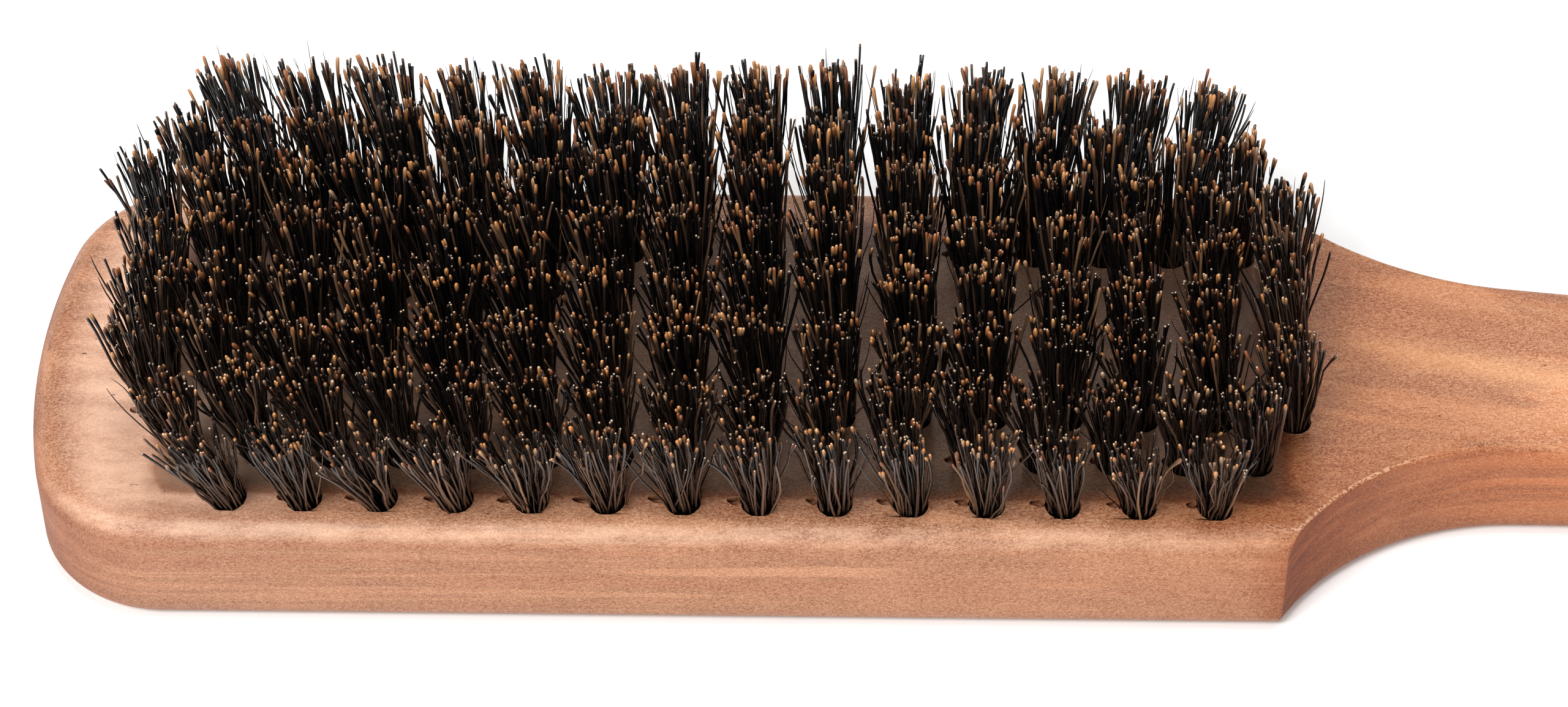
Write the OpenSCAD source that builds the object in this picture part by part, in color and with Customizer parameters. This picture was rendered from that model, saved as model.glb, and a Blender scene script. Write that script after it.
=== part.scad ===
// Body dry brush: a one-piece wooden stock (head and handle) with drilled rows of
// bristle tufts, each tuft folded in half around a flat wire anchor driven into its hole.
// The brush lies on its flat back, bristles up. +X runs along the handle, +Z through
// the bristles, and the origin is under the middle of the whole brush.

/* [Stock] */
// Whole length, tip of the head to tip of the handle
total_len = 240; // [225:1:260]
// Thickness of the stock
thickness = 14; // [13:0.5:18]
// Length of the head, from its tip to the arris where the neck is cut in
head_len = 135; // [133:1:140]
// Width of the head
head_w = 54.4; // [54:0.2:60]
// Radius of the shallow arc across the tip of the head
tip_arc_r = 75; // [60:1:100]
// Radius of the two corners at the tip of the head
corner_r = 14; // [10:0.5:16]
// Radius of the two cuts that narrow the head to the neck
neck_cut_r = 31; // [29:0.5:33]

/* [Handle] */
// Width of the handle where the neck cuts end
neck_w = 25.6; // [24:0.2:28]
// Greatest width of the handle, near its end
grip_w = 28.6; // [28:0.2:32]
// How far the crowned top of the handle falls to its sides
crown = 1.6; // [0.5:0.1:2]
// Diameter of the hanging hole
hang_d = 6; // [4:0.5:8]
// Distance from the handle's tip to the hanging hole
hang_inset = 14; // [12:0.5:18]

/* [Edges] */
// Rounding of the head's top edge
head_round = 3; // [1:0.25:3.5]
// Slight softening of the neck's top edge
neck_round = 0.5; // [0.3:0.1:1]
// Rounding of the grip's top edge
grip_round = 4.5; // [2:0.25:5]
// Rounding of the bottom edge, all round
back_round = 2.5; // [1:0.25:3]
// Chamfer on both mouths of the hanging hole
hang_chamfer = 0.6; // [0.3:0.1:1]

/* [Tufts] */
// Distance between rows of tufts, across the head
row_pitch = 6.35; // [6.2:0.05:6.5]
// Tuft spacing along the front and back rows
outer_pitch = 8; // [7.8:0.05:8.2]
// Tuft spacing along the rows next to them
second_pitch = 7.55; // [7.4:0.05:7.7]
// Tuft spacing along the four middle rows
middle_pitch = 8.15; // [8:0.05:8.2]
// Height of the bristles above the wood
bristle_h = 15.4; // [12:0.2:18]
// Diameter of a tuft hole
hole_d = 3.8; // [3.6:0.1:4]
// Depth of a tuft hole, along its own axis
hole_depth = 9; // [8:0.5:10]
// Radius of a spread tuft at its tips
tip_r = 3.2; // [2.5:0.1:3.3]
// Outward lean of the front and back rows, in degrees
row_lean = 24; // [18:1:26]
// Outward lean of the end columns, in degrees
end_lean = 9; // [5:1:12]

/* [Anchors] */
// Length of a flat wire anchor, longer than its hole is wide
anchor_len = 5.2; // [4.8:0.1:5.6]
// Thickness of the anchor wire
anchor_t = 0.4; // [0.3:0.05:0.5]
// Width of the anchor wire, along the hole
anchor_h = 1.8; // [1.4:0.1:2.2]
// Bristle bend left under the anchor
anchor_gap = 0.8; // [0.6:0.1:1.2]

/* [Hidden] */

// Where the stock's features lie along X
tip_x = -total_len / 2;
end_x = total_len / 2;
arris_x = tip_x + head_len;
half_head = head_w / 2;
half_neck = neck_w / 2;
half_grip = grip_w / 2;

// Centres of the arcs in the outline
tip_arc_x = tip_x + tip_arc_r;
corner_y = half_head - corner_r;
corner_x = tip_arc_x - sqrt(pow(tip_arc_r - corner_r, 2) - pow(corner_y, 2));
cut_y = half_neck + neck_cut_r;
cut_x = arris_x + sqrt(pow(neck_cut_r, 2) - pow(cut_y - half_head, 2));
end_arc_x = end_x - half_grip;
hang_x = end_x - hang_inset;

// Number of steps in each stretch of the outline, and in each rounded edge
tip_steps = 5;
corner_steps = 7;
cut_steps = 11;
handle_steps = 6;
end_steps = 7;
edge_steps = 4;
// Share of a step that is left flat across each tip, on the centre line
tip_flat = 0.15;
// Columns of facets across the crowned handle
crown_cols = 6;
// Where the neck's crisp edge starts to soften and the top starts to crown,
// and how far on they reach their full size
soften_from = arris_x + 9;
soften_len = 46;

// The tuft field is centred on this X
field_x = tip_x + 75.4;
rows = 8;
columns = 16;
row_count = [14, 16, 16, 16, 16, 16, 16, 14];
row_step = [outer_pitch, second_pitch, middle_pitch, middle_pitch,
    middle_pitch, middle_pitch, second_pitch, outer_pitch];
// A tuft fills its hole but for this gap, and starts to spread this far above the wood
tuft_gap = 0.05;
spread_from = 1.2;

wood = [0.80, 0.60, 0.46];
bristle = [0.13, 0.10, 0.09];
steel = [0.62, 0.62, 0.64];

function smooth(t) = let (u = min(1, max(0, t))) u * u * (3 - 2 * u);
function softness(x) = smooth((x - soften_from) / soften_len);

// Half of the outline, front side, as [x, y, outward normal x, outward normal y].
// Angles at the tip are measured from the arc's centre.
corner_turn = atan2(corner_y, tip_arc_x - corner_x);
function tip_point(i) =
    let (a = corner_turn * (i + tip_flat) / tip_steps)
    [tip_arc_x - tip_arc_r * cos(a), -tip_arc_r * sin(a), -cos(a), -sin(a)];
function corner_point(i) =
    let (a = corner_turn + (90 - corner_turn) * (i + 1) / corner_steps)
    [corner_x - corner_r * cos(a), -corner_y - corner_r * sin(a), -cos(a), -sin(a)];
// Angle of the neck cut, from the -X direction of its centre, at a given half width
function cut_angle(half, r) = asin((cut_y - half) / r);
first_cut_angle = cut_angle(half_head - head_round, neck_cut_r) + 3;
function cut_point(i) =
    let (a = first_cut_angle + (90 - first_cut_angle) * i / cut_steps)
    [cut_x - neck_cut_r * cos(a), neck_cut_r * sin(a) - cut_y, cos(a), -sin(a)];
function grip_half(x) = half_neck + (half_grip - half_neck) * smooth((x - cut_x) / (end_arc_x - cut_x));
function handle_point(i) =
    let (x = cut_x + (end_arc_x - cut_x) * (i + 1) / (handle_steps + 1))
    [x, -grip_half(x), 0, -1];
function end_point(i) =
    let (a = 90 * i / (end_steps + tip_flat))
    [end_arc_x + half_grip * sin(a), -half_grip * cos(a), sin(a), -cos(a)];
head_points = [for (i = [0:tip_steps - 1]) tip_point(i),
    for (i = [0:corner_steps - 1]) corner_point(i)];
neck_points = [for (i = [0:cut_steps]) cut_point(i),
    for (i = [0:handle_steps - 1]) handle_point(i),
    for (i = [0:end_steps]) end_point(i)];
// The arris stands between these two stretches
arris_at = len(head_points);
half_count = arris_at + 1 + len(neck_points);

// A rounded edge of radius r at turn a, from 0 on the flat face to 90 on the wall
function inset(r, a) = r * (1 - sin(a));
function drop(r, a) = r * (1 - cos(a));
function edge_inset(r, depth) = depth >= r ? 0 : r - sqrt(r * r - pow(r - depth, 2));

// Rings run from the top face down the wall to the back face
ring_count = 2 * (edge_steps + 1);
function is_top(k) = k <= edge_steps;
// Slope at which the crowned top runs into its rounded edge
function crown_turn(x) = softness(x) * atan(2 * crown / (half_grip - grip_round));
function turn(k, from) =
    is_top(k) ? from + (90 - from) * k / edge_steps : 90 * (ring_count - 1 - k) / edge_steps;
function top_round(p, on_head) =
    on_head ? head_round : neck_round + (grip_round - neck_round) * softness(p[0]);
function height(x, r, from, k) =
    is_top(k) ? thickness - crown * softness(x) + drop(r, from) - drop(r, turn(k, from))
    : drop(back_round, turn(k, from));
function edge_point(p, on_head, k) =
    let (r = is_top(k) ? top_round(p, on_head) : back_round,
        from = on_head ? 0 : crown_turn(p[0]),
        d = inset(r, turn(k, from)))
    [p[0] - d * p[2], p[1] - d * p[3], height(p[0], r, from, k)];
// The arris is where the head's rounded side meets the neck's upright cut
function arris_point(k) =
    let (r = is_top(k) ? head_round : back_round,
        half = half_head - inset(r, turn(k, 0)),
        cut = neck_cut_r + edge_inset(is_top(k) ? neck_round : back_round, drop(r, turn(k, 0))))
    [cut_x - cut * cos(asin((cut_y - half) / cut)), -half, height(arris_x, r, 0, k)];
function ring_point(i, k) =
    i < arris_at ? edge_point(head_points[i], true, k)
    : i == arris_at ? arris_point(k)
    : edge_point(neck_points[i - arris_at - 1], false, k);
function mirrored(p) = [p[0], -p[1], p[2]];
function ring(k) =
    let (front = [for (i = [0:half_count - 1]) ring_point(i, k)])
    concat(front, [for (i = [half_count - 1:-1:0]) mirrored(front[i])]);
loop = 2 * half_count;

// Points across the crowned top, between the two sides, at each station of the neck and handle.
// Round the end of the grip the crown falls away from the end arc's centre.
end_crown_r = half_grip - inset(grip_round, crown_turn(end_x));
function crown_fall(p, y) =
    p[0] < end_arc_x ? pow(y / p[1], 2) : (pow(p[0] - end_arc_x, 2) + y * y) / pow(end_crown_r, 2);
function crown_point(i, c) =
    let (p = ring_point(i, 0), y = -p[1] * (2 * c / crown_cols - 1))
    [p[0], y, p[2] + crown * softness(p[0]) * (1 - min(1, crown_fall(p, y)))];
crown_base = ring_count * loop;
crown_inner = crown_cols - 1;
function crown_index(i, c) =
    c == 0 ? i
    : c == crown_cols ? loop - 1 - i
    : crown_base + (i - arris_at) * crown_inner + c - 1;

stock_points = [
    for (k = [0:ring_count - 1]) each ring(k),
    for (i = [arris_at:half_count - 1]) for (c = [1:crown_inner]) crown_point(i, c)];
wall_faces = [
    for (k = [0:ring_count - 2]) for (j = [0:loop - 1])
    let (n = (j + 1) % loop, a = k * loop)
    each [[a + j, a + n, a + n + loop], [a + j, a + n + loop, a + j + loop]]];
// The flat top of the head as strips from side to side, the last one meeting the crown's columns
head_faces = [
    for (i = [0:arris_at - 2]) [i, loop - 1 - i, loop - 2 - i, i + 1],
    [arris_at - 1, loop - arris_at,
        for (c = [crown_cols:-1:0]) crown_index(arris_at, c)]];
crown_faces = [
    for (i = [arris_at:half_count - 2]) for (c = [0:crown_cols - 1])
    each [[crown_index(i, c), crown_index(i, c + 1), crown_index(i + 1, c + 1)],
        [crown_index(i, c), crown_index(i + 1, c + 1), crown_index(i + 1, c)]]];
end_face = [[for (c = [0:crown_cols]) crown_index(half_count - 1, c)]];
back_base = (ring_count - 1) * loop;
back_faces = [
    for (i = [0:half_count - 2])
    [back_base + i, back_base + i + 1, back_base + loop - 2 - i, back_base + loop - 1 - i]];

// Where a tuft stands. Rows run front to back, columns tip to handle.
function first_column(r) = (columns - row_count[r]) / 2;
function has_tuft(c, r) = c >= first_column(r) && c < columns - first_column(r);
function tuft_x(c, r) = field_x + (c - (columns - 1) / 2) * row_step[r];
function tuft_y(r) = (r - (rows - 1) / 2) * row_pitch;
function lean_out(r) = row_lean * (2 * r / (rows - 1) - 1);
function lean_along(c) = end_lean * (2 * c / (columns - 1) - 1);

module at_tuft(c, r) {
    translate([tuft_x(c, r), tuft_y(r), thickness])
        rotate([-lean_out(r), lean_along(c), 0])
            children();
}

// One flat wire anchor, in its tuft's own frame, with the wood's surface at z = 0
module anchor() {
    translate([-anchor_len / 2, -anchor_t / 2, anchor_gap - hole_depth])
        cube([anchor_len, anchor_t, anchor_h]);
}

// One tuft as a solid: the folded bundle in the hole, then the spreading bristles
module tuft() {
    plug_r = hole_d / 2 - tuft_gap;
    plug_h = hole_depth + spread_from;
    difference() {
        union() {
            translate([0, 0, -hole_depth])
                cylinder(h = plug_h, r = plug_r, $fn = 32);
            translate([0, 0, spread_from])
                cylinder(h = bristle_h - spread_from, r1 = plug_r, r2 = tip_r, $fn = 32);
        }
        anchor();
    }
}

// The drilled hole runs a little above the surface, so that a leaning one opens fully
module tuft_hole() {
    translate([0, 0, -hole_depth])
        cylinder(h = hole_depth + hole_d, d = hole_d, $fn = 32);
}

module hang_hole() {
    chamfer_top_r = hang_d / 2 + 2 * hang_chamfer;
    translate([hang_x, 0, -1])
        cylinder(h = thickness + 2, d = hang_d, $fn = 48);
    translate([hang_x, 0, thickness - hang_chamfer])
        cylinder(h = 2 * hang_chamfer, r1 = hang_d / 2, r2 = chamfer_top_r, $fn = 48);
    translate([hang_x, 0, -hang_chamfer])
        cylinder(h = 2 * hang_chamfer, r1 = chamfer_top_r, r2 = hang_d / 2, $fn = 48);
}

// Head and handle in one piece of wood, drilled for the tufts
module brush_body() {
    color(wood)
        difference() {
            polyhedron(points = stock_points,
                faces = concat(wall_faces, head_faces, crown_faces, end_face, back_faces),
                convexity = 6);
            for (r = [0:rows - 1])
                for (c = [0:columns - 1])
                    if (has_tuft(c, r))
                        at_tuft(c, r) {
                            tuft_hole();
                            anchor();
                        }
            hang_hole();
        }
}

module tufts_col(c) {
    color(bristle)
        for (r = [0:rows - 1])
            if (has_tuft(c, r))
                at_tuft(c, r)
                    tuft();
}

module anchors_col(c) {
    color(steel)
        for (r = [0:rows - 1])
            if (has_tuft(c, r))
                at_tuft(c, r)
                    anchor();
}

brush_body();
tufts_col(0);  // tufts_col_01
tufts_col(1);  // tufts_col_02
tufts_col(2);  // tufts_col_03
tufts_col(3);  // tufts_col_04
tufts_col(4);  // tufts_col_05
tufts_col(5);  // tufts_col_06
tufts_col(6);  // tufts_col_07
tufts_col(7);  // tufts_col_08
tufts_col(8);  // tufts_col_09
tufts_col(9);  // tufts_col_10
tufts_col(10);  // tufts_col_11
tufts_col(11);  // tufts_col_12
tufts_col(12);  // tufts_col_13
tufts_col(13);  // tufts_col_14
tufts_col(14);  // tufts_col_15
tufts_col(15);  // tufts_col_16
anchors_col(0);  // anchors_col_01
anchors_col(1);  // anchors_col_02
anchors_col(2);  // anchors_col_03
anchors_col(3);  // anchors_col_04
anchors_col(4);  // anchors_col_05
anchors_col(5);  // anchors_col_06
anchors_col(6);  // anchors_col_07
anchors_col(7);  // anchors_col_08
anchors_col(8);  // anchors_col_09
anchors_col(9);  // anchors_col_10
anchors_col(10);  // anchors_col_11
anchors_col(11);  // anchors_col_12
anchors_col(12);  // anchors_col_13
anchors_col(13);  // anchors_col_14
anchors_col(14);  // anchors_col_15
anchors_col(15);  // anchors_col_16
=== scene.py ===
"""A body dry brush: a one-piece wooden stock, 124 tufts of dark bristle and their wire anchors.

The brush lies on its flat back. +X runs along the handle, -Y is the near side and +Z is up
through the bristles. Sizes below are in millimetres, as in the CAD source; meshes are in metres.
"""

import math

import bmesh
import bpy
import numpy as np
from mathutils import Euler, Matrix, Vector
from mathutils.geometry import delaunay_2d_cdt


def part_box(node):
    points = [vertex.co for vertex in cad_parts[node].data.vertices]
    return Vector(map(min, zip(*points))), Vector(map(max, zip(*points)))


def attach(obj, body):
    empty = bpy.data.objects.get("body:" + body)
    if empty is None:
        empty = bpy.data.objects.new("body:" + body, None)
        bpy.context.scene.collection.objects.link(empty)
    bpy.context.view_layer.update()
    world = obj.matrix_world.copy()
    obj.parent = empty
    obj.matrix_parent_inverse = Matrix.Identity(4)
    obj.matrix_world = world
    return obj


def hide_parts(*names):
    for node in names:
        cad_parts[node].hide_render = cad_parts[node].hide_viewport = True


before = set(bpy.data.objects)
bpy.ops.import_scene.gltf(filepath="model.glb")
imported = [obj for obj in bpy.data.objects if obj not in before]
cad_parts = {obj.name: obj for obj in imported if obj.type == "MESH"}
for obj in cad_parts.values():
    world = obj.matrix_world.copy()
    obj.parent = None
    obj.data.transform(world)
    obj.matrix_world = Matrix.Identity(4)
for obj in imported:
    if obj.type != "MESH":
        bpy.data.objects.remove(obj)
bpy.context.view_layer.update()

MM = 0.001
SEED = 20817

# ---------------------------------------------------------------- sizes shared with the CAD model

stock_low, stock_high = (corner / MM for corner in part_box("brush_body"))
TOTAL_LEN = 240.0
THICKNESS = 14.0
HEAD_LEN = 135.0
HEAD_W = 54.4
TIP_ARC_R = 75.0
CORNER_R = 14.0
NECK_CUT_R = 31.0
NECK_W = 25.6
GRIP_W = 28.6
CROWN = 1.6
HANG_D = 6.0
HANG_INSET = 14.0
HEAD_ROUND = 3.0
NECK_ROUND = 0.5
GRIP_ROUND = 4.5
BACK_ROUND = 2.5
HANG_CHAMFER = 0.6
ARRIS_ROUND = 0.45

ROW_PITCH = 6.35
ROW_STEP = [8.0, 7.55, 8.15, 8.15, 8.15, 8.15, 7.55, 8.0]
ROW_COUNT = [14, 16, 16, 16, 16, 16, 16, 14]
ROWS = len(ROW_COUNT)
COLUMNS = max(ROW_COUNT)
BRISTLE_H = 15.4
HOLE_R = 1.9
HOLE_DEPTH = 9.0
ROW_LEAN = 24.0
NEAR_LEAN = 21.0
END_LEAN = 9.0

TIP_X = (stock_low.x + stock_high.x - TOTAL_LEN) / 2
END_X = TIP_X + TOTAL_LEN
ARRIS_X = TIP_X + HEAD_LEN
FIELD_X = TIP_X + 75.4
HALF_HEAD = HEAD_W / 2
HALF_NECK = NECK_W / 2
HALF_GRIP = GRIP_W / 2
TIP_ARC_X = TIP_X + TIP_ARC_R
CORNER_Y = HALF_HEAD - CORNER_R
CORNER_X = TIP_ARC_X - (TIP_ARC_R - CORNER_R) * math.cos(
    math.asin(CORNER_Y / (TIP_ARC_R - CORNER_R))
)
CUT_Y = HALF_NECK + NECK_CUT_R
CUT_X = ARRIS_X + math.sqrt(NECK_CUT_R**2 - (CUT_Y - HALF_HEAD) ** 2)
END_ARC_X = END_X - HALF_GRIP
HANG_X = END_X - HANG_INSET
SOFTEN_FROM = ARRIS_X + 9
SOFTEN_LEN = 46


def ease(t):
    """Smooth rise from 0 to 1."""
    t = min(1.0, max(0.0, t))
    return t * t * (3 - 2 * t)


def softness(x):
    """0 at the crisp neck, 1 where the handle is fully crowned and rounded."""
    return ease((x - SOFTEN_FROM) / SOFTEN_LEN)


# ---------------------------------------------------------------- the wooden stock

EDGE_STEPS = 9
WALL_STEPS = 3
TOP_RINGS = EDGE_STEPS + 1
RINGS = 2 * (EDGE_STEPS + 1) + WALL_STEPS - 1


def crown_turn(x):
    """Slope, in radians, at which the crowned top runs into its rounded edge."""
    return softness(x) * math.atan(2 * CROWN / (HALF_GRIP - GRIP_ROUND))


def edge_profile(ring, radius, start, top_z):
    """Height of a ring, and how far it stands in from the side wall."""
    if ring < TOP_RINGS:
        turn = start + (math.pi / 2 - start) * ring / EDGE_STEPS
        drop = radius * (math.cos(start) - math.cos(turn))
        return top_z - drop, radius * (1 - math.sin(turn))
    if ring >= RINGS - TOP_RINGS:
        turn = math.pi / 2 * (RINGS - 1 - ring) / EDGE_STEPS
        return BACK_ROUND * (1 - math.cos(turn)), BACK_ROUND * (1 - math.sin(turn))
    wall_top = top_z - radius * math.cos(start)
    part = (ring - TOP_RINGS + 1) / WALL_STEPS
    return wall_top + (BACK_ROUND - wall_top) * part, 0.0


def inset_at(height, radius, start, top_z):
    """How far the rounded edge stands in from the side wall at a given height."""
    if height < BACK_ROUND:
        return BACK_ROUND - math.sqrt(max(0.0, BACK_ROUND**2 - (BACK_ROUND - height) ** 2))
    above = height - (top_z - radius * math.cos(start))
    if above <= 0:
        return 0.0
    return radius - math.sqrt(max(0.0, radius**2 - above**2))


def head_samples():
    """Front half of the head's outline, tip to arris, as (x, y, normal x, normal y)."""
    samples = []
    corner_turn = math.atan2(CORNER_Y, TIP_ARC_X - CORNER_X)
    tip_steps, corner_steps, side_steps = 18, 18, 40
    for i in range(tip_steps):
        a = corner_turn * (i + 0.5) / tip_steps
        x, y = TIP_ARC_X - TIP_ARC_R * math.cos(a), -TIP_ARC_R * math.sin(a)
        samples.append((x, y, -math.cos(a), -math.sin(a)))
    for i in range(corner_steps + 1):
        a = corner_turn + (math.pi / 2 - corner_turn) * i / corner_steps
        x = CORNER_X - CORNER_R * math.cos(a)
        y = -CORNER_Y - CORNER_R * math.sin(a)
        samples.append((x, y, -math.cos(a), -math.sin(a)))
    for i in range(1, side_steps):
        x = CORNER_X + (ARRIS_X - 4 - CORNER_X) * i / (side_steps - 1)
        samples.append((x, -HALF_HEAD, 0.0, -1.0))
    return samples


def handle_samples():
    """Front half of the handle's outline, from the end of the neck cut to the tip."""
    samples = []
    handle_steps, end_steps = 34, 22
    for i in range(1, handle_steps + 1):
        x = CUT_X + (END_ARC_X - CUT_X) * i / (handle_steps + 1)
        half = HALF_NECK + (HALF_GRIP - HALF_NECK) * ease((x - CUT_X) / (END_ARC_X - CUT_X))
        samples.append((x, -half, 0.0, -1.0))
    for i in range(end_steps):
        a = math.pi / 2 * i / (end_steps - 0.5)
        x, y = END_ARC_X + HALF_GRIP * math.sin(a), -HALF_GRIP * math.cos(a)
        samples.append((x, y, math.sin(a), -math.cos(a)))
    return samples


FILLET_STEPS = 5
CUT_STEPS = 44


def neck_edge(x):
    """Top edge radius and crown slope of the neck and handle at x."""
    return NECK_ROUND + (GRIP_ROUND - NECK_ROUND) * softness(x), crown_turn(x)


def ring_front(ring, extra=0.0):
    """Front half of one ring of the stock, tip to tip; extra moves it further in."""
    points = []
    head_z, head_in = edge_profile(ring, HEAD_ROUND, 0.0, THICKNESS)
    for x, y, nx, ny in head_samples():
        points.append((x - (head_in + extra) * nx, y - (head_in + extra) * ny, head_z))

    # The arris: the head's side and the neck's cut, joined by a small fillet
    half = HALF_HEAD - head_in - extra
    neck_in = inset_at(head_z, NECK_ROUND, 0.0, THICKNESS)
    cut = NECK_CUT_R + neck_in + extra
    reach = cut + ARRIS_ROUND
    fillet_y = -(half - ARRIS_ROUND)
    fillet_x = CUT_X - math.sqrt(reach**2 - (CUT_Y + fillet_y) ** 2)
    last = math.atan2(CUT_X - fillet_x, CUT_Y + fillet_y)
    for i in range(FILLET_STEPS + 1):
        a = last * i / FILLET_STEPS
        x = fillet_x + ARRIS_ROUND * math.sin(a)
        points.append((x, fillet_y - ARRIS_ROUND * math.cos(a), head_z))

    # The neck's cut, from the fillet to where the cut is parallel with the handle
    first = math.pi / 2 - last
    for i in range(1, CUT_STEPS + 1):
        part = i / CUT_STEPS
        a = first + (math.pi / 2 - first) * part
        x_guess = CUT_X - NECK_CUT_R * math.cos(a)
        radius, start = neck_edge(x_guess)
        top_z = THICKNESS - CROWN * softness(x_guess)
        own_z, _ = edge_profile(ring, radius, start, top_z)
        z = head_z + (own_z - head_z) * ease(part * 2.5)
        r = NECK_CUT_R + inset_at(z, radius, start, top_z) + extra
        points.append((CUT_X - r * math.cos(a), r * math.sin(a) - CUT_Y, z))

    for x, y, nx, ny in handle_samples():
        radius, start = neck_edge(x)
        z, inward = edge_profile(ring, radius, start, THICKNESS - CROWN * softness(x))
        points.append((x - (inward + extra) * nx, y - (inward + extra) * ny, z))
    return points


def closed_ring(front):
    """The front half of a ring and its mirror image, as one loop."""
    return front + [(x, -y, z) for x, y, z in reversed(front)]


def top_rim_half(x):
    """Half width of the flat or crowned top, inside its rounded edge."""
    radius, start = neck_edge(x)
    half = HALF_NECK
    if x > CUT_X:
        half += (HALF_GRIP - HALF_NECK) * ease((x - CUT_X) / (END_ARC_X - CUT_X))
    elif x > ARRIS_X:
        half = CUT_Y - math.sqrt(max(0.0, NECK_CUT_R**2 - (x - CUT_X) ** 2))
    return half - radius * (1 - math.sin(start))


def top_height(x, y):
    """Height of the top face: flat on the head, crowned on the handle."""
    soft = softness(x)
    if soft <= 0:
        return THICKNESS
    if x < END_ARC_X:
        fall = (y / top_rim_half(x)) ** 2
    else:
        radius, start = neck_edge(x)
        rim = HALF_GRIP - radius * (1 - math.sin(start))
        fall = ((x - END_ARC_X) ** 2 + y * y) / rim**2
    return THICKNESS - CROWN * soft * min(1.0, fall)


def first_column(row):
    """The first and last rows are shorter, by as much at each end."""
    return (COLUMNS - ROW_COUNT[row]) // 2


def has_tuft(column, row):
    return first_column(row) <= column < COLUMNS - first_column(row)


def tuft_origin(column, row):
    """Where a tuft's axis leaves the wood."""
    x = FIELD_X + (column - (COLUMNS - 1) / 2) * ROW_STEP[row]
    return Vector((x, (row - (ROWS - 1) / 2) * ROW_PITCH, THICKNESS))


def tuft_turn(column, row):
    """The tuft's own frame: its hole leans outwards across and along the head."""
    out = ROW_LEAN * (2 * row / (ROWS - 1) - 1)
    along = END_LEAN * (2 * column / (COLUMNS - 1) - 1)
    return Euler((math.radians(-out), math.radians(along), 0.0), "XYZ").to_matrix()


TUFTS = [(c, r) for c in range(COLUMNS) for r in range(ROWS) if has_tuft(c, r)]
HOLE_POINTS = 30
NICK_REACH = 1.9
NICK_DEPTH = 1.5
# A nick's outline, as (share of its reach, distance to one side)
NICK_OUTLINE = ((0.3, 0.6), (0.6, 0.42), (1.0, 0.3), (1.08, -0.05), (0.7, -0.36), (0.35, -0.45))


def hole_section(row, rng):
    """A drilled hole's rim as (local x, local y, in a nick), with the nick its anchor tore."""
    section = []
    nick_at = HOLE_POINTS // 2
    reach = rng.uniform(0.9, NICK_REACH) * (1.0 if row == 0 else 0.5)
    slant = rng.uniform(-0.05, 0.3)
    for i in range(HOLE_POINTS):
        a = 2 * math.pi * (i + 0.5) / HOLE_POINTS
        r = HOLE_R * (1 + rng.uniform(-0.02, 0.02))
        section.append((r * math.cos(a), r * math.sin(a), False))
        if i + 1 == nick_at:
            for out, wide in NICK_OUTLINE:
                x = -(HOLE_R + reach * out) + rng.uniform(-0.07, 0.07)
                y = wide + slant * reach * out + rng.uniform(-0.06, 0.06)
                section.append((x, y, True))
    return section


def on_top_plane(turn, x, y):
    """How far along a hole's axis the point (x, y) of its section meets the wood's surface."""
    return -(turn[2][0] * x + turn[2][1] * y) / turn[2][2]


def inside(polygon, x, y):
    """Whether a point lies inside a closed polygon."""
    found = False
    j = len(polygon) - 1
    for i in range(len(polygon)):
        xi, yi = polygon[i]
        xj, yj = polygon[j]
        if (yi > y) != (yj > y) and x < (xj - xi) * (y - yi) / (yj - yi) + xi:
            found = not found
        j = i
    return found


def fill_face(loops, holes, extra_points, height):
    """Triangulates the area inside the first loop, outside the holes, and lifts it to height."""
    points, edges = [], []
    for loop in loops + holes:
        start = len(points)
        count = len(loop)
        points.extend(Vector((x, y)) for x, y in loop)
        edges.extend((start + i, start + (i + 1) % count) for i in range(count))
    points.extend(Vector(p) for p in extra_points)
    verts, _, faces, _, _, _ = delaunay_2d_cdt(points, edges, [], 1, 1e-5)
    centres = [Vector(np.mean(np.array(h), axis=0)) for h in holes]
    kept = []
    for face in faces:
        c = sum((verts[i] for i in face), Vector((0, 0))) / len(face)
        near = [k for k, h in enumerate(centres) if (h - c).length < 8]
        if not any(inside(holes[k], c.x, c.y) for k in near) and inside(loops[0], c.x, c.y):
            kept.append(tuple(face))
    return [(v.x, v.y, height(v.x, v.y)) for v in verts], kept


class MeshParts:
    """Collects vertices, in millimetres, and faces."""

    def __init__(self):
        self.verts, self.faces = [], []

    def add(self, verts, faces):
        start = len(self.verts)
        self.verts.extend(verts)
        self.faces.extend(tuple(start + i for i in face) for face in faces)

    def strip(self, ring_a, ring_b):
        """Joins two closed rings of the same length."""
        n = len(ring_a)
        quads = [(i, (i + 1) % n, n + (i + 1) % n, n + i) for i in range(n)]
        self.add(list(ring_a) + list(ring_b), quads)

    def to_object(self, name, merge=1e-6, sharp_angle=32):
        mesh = bpy.data.meshes.new(name)
        mesh.from_pydata([tuple(c * MM for c in v) for v in self.verts], [], self.faces)
        tidy_mesh(mesh, merge, sharp_angle)
        ob = bpy.data.objects.new(name, mesh)
        bpy.context.scene.collection.objects.link(ob)
        return ob


def tidy_mesh(mesh, merge, sharp_angle):
    """Joins doubled vertices, turns the faces outwards and marks the sharp edges."""
    bm = bmesh.new()
    bm.from_mesh(mesh)
    bmesh.ops.remove_doubles(bm, verts=bm.verts, dist=merge)
    bmesh.ops.dissolve_degenerate(bm, edges=bm.edges, dist=merge / 10)
    bmesh.ops.recalc_face_normals(bm, faces=bm.faces)
    limit = math.radians(sharp_angle)
    for face in bm.faces:
        face.smooth = True
    for edge in bm.edges:
        edge.smooth = len(edge.link_faces) != 2 or edge.calc_face_angle(0.0) < limit
    bm.to_mesh(mesh)
    bm.free()


def end_grain(x, y, z, normal):
    """How far a side face cuts across the grain: most at the tip, the neck cuts and the end."""
    across = 0.6 * abs(normal.x)
    if x > ARRIS_X - 0.3:
        across = max(abs(normal.x), 0.46)
    return across * ease((math.hypot(normal.x, normal.y) - 0.55) / 0.4)


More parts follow.
